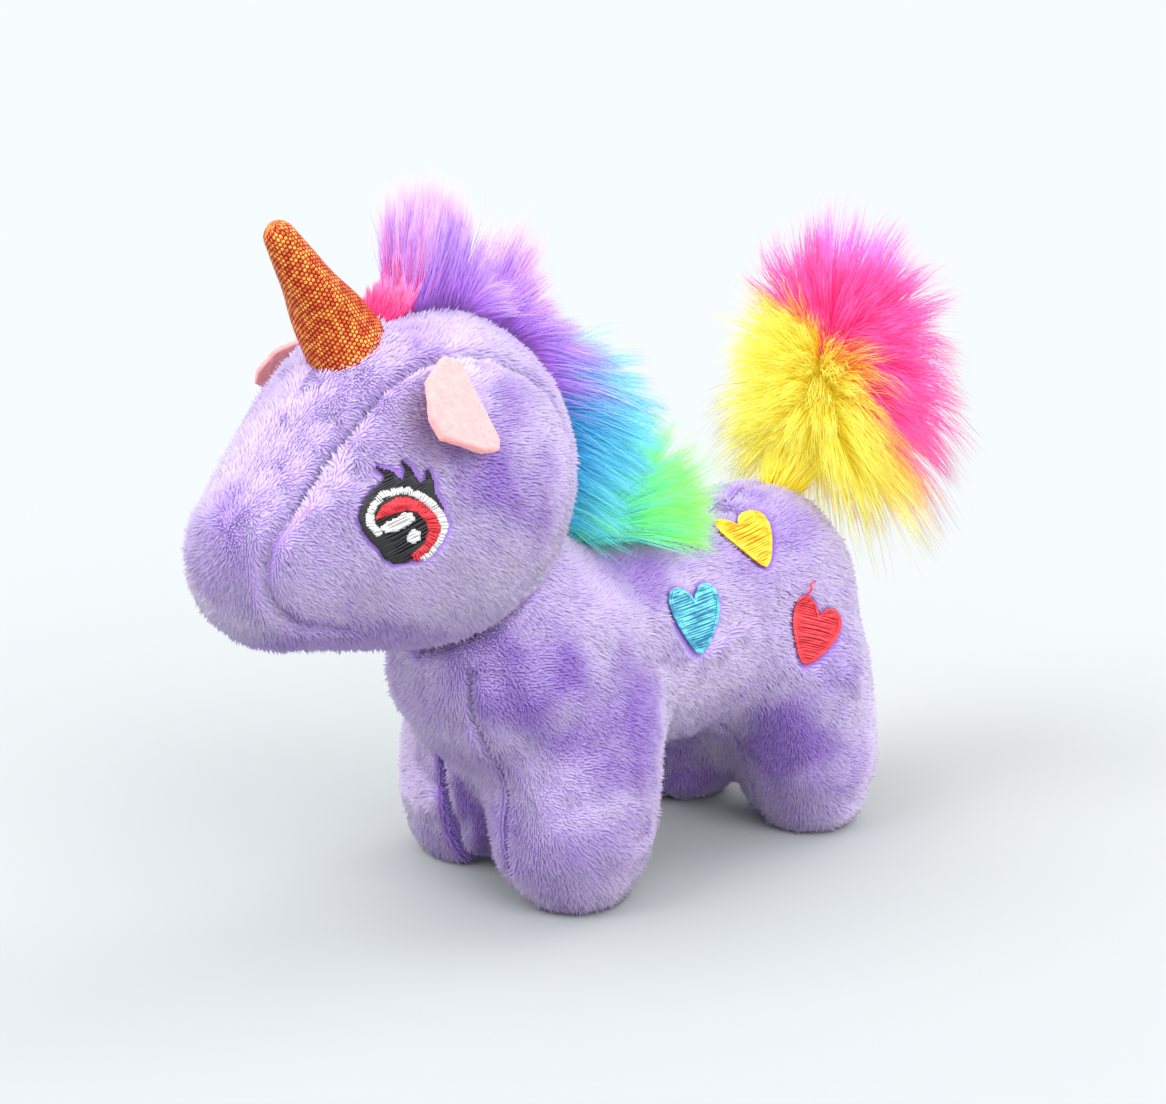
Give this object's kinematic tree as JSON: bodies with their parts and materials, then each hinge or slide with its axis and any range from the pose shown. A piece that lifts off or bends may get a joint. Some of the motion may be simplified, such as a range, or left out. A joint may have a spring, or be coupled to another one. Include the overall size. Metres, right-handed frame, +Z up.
{
  "type": "plush unicorn",
  "caption": "Small standing plush unicorn with short-pile body, felt ears, foil-cloth horn, embroidered eyes and hearts, and a long-pile rainbow mane and tail.",
  "frame": {"origin": "on the floor, at the middle of the whole toy seen from above", "axes": "-Y towards the nose, +X towards its left side, +Z up"},
  "size_m": [0.0554, 0.1552, 0.1139],
  "materials": {
    "plush": "matte",
    "stuffing": "matte",
    "felt": "matte",
    "foil_cloth": "satin",
    "thread_black": "satin",
    "thread_white": "satin",
    "thread_red": "satin",
    "thread_blue": "satin",
    "thread_yellow": "satin",
    "fur_pink": "matte",
    "fur_purple": "matte",
    "fur_blue": "matte",
    "fur_green": "matte",
    "fur_yellow": "matte",
    "fur_orange": "matte",
    "fur_backing": "matte"
  },
  "bodies": {
    "body": {"body_filling": "stuffing", "body_side_left": "plush", "body_side_right": "plush", "belly_panel": "plush", "sole_front_left": "plush", "sole_front_right": "plush", "sole_hind_left": "plush", "sole_hind_right": "plush", "heart_blue_left": "thread_blue", "heart_blue_right": "thread_blue", "heart_yellow_left": "thread_yellow", "heart_yellow_right": "thread_yellow", "heart_red_left": "thread_red", "heart_red_right": "thread_red", "mane_backing_body": "fur_backing", "mane_green": "fur_green"},
    "head": {"head_filling": "stuffing", "horn_filling": "stuffing", "head_side_left": "plush", "head_side_right": "plush", "head_centre_panel": "plush", "eye_black_left": "thread_black", "eye_black_right": "thread_black", "eye_white_left": "thread_white", "eye_white_right": "thread_white", "eye_red_left": "thread_red", "eye_red_right": "thread_red", "eye_glint_left": "thread_white", "eye_glint_right": "thread_white", "horn_cover": "foil_cloth", "mane_backing_head": "fur_backing", "mane_pink": "fur_pink", "mane_purple": "fur_purple", "mane_blue": "fur_blue"},
    "left_ear": {"ear_left": "felt"},
    "right_ear": {"ear_right": "felt"},
    "tail": {"tail_backing": "fur_backing", "tail_yellow": "fur_yellow", "tail_orange": "fur_orange", "tail_pink": "fur_pink", "tail_purple": "fur_purple"}
  },
  "joints": [
    {"name": "head_nod", "type": "hinge", "parent": "body", "child": "head", "pos_m": [-0.00011, -0.02686, 0.053], "axis": [1, 0, 0], "range_deg": [-5, 5], "stiffness_Nm_per_rad": 0.4},
    {"name": "left_ear_flap", "type": "hinge", "parent": "head", "child": "left_ear", "pos_m": [0.02479, -0.04236, 0.0822], "axis": [-0.5581, -0.1102, 0.8224], "range_deg": [-4, 25], "stiffness_Nm_per_rad": 0.0003},
    {"name": "right_ear_flap", "type": "hinge", "parent": "head", "child": "right_ear", "pos_m": [-0.02501, -0.04236, 0.0822], "axis": [-0.5581, 0.1102, -0.8224], "range_deg": [-4, 25], "stiffness_Nm_per_rad": 0.0003},
    {"name": "tail_swing", "type": "hinge", "parent": "body", "child": "tail", "pos_m": [-0.00011, 0.04314, 0.056], "axis": [1, 0, 0], "range_deg": [-10, 8], "stiffness_Nm_per_rad": 0.12}
  ]
}
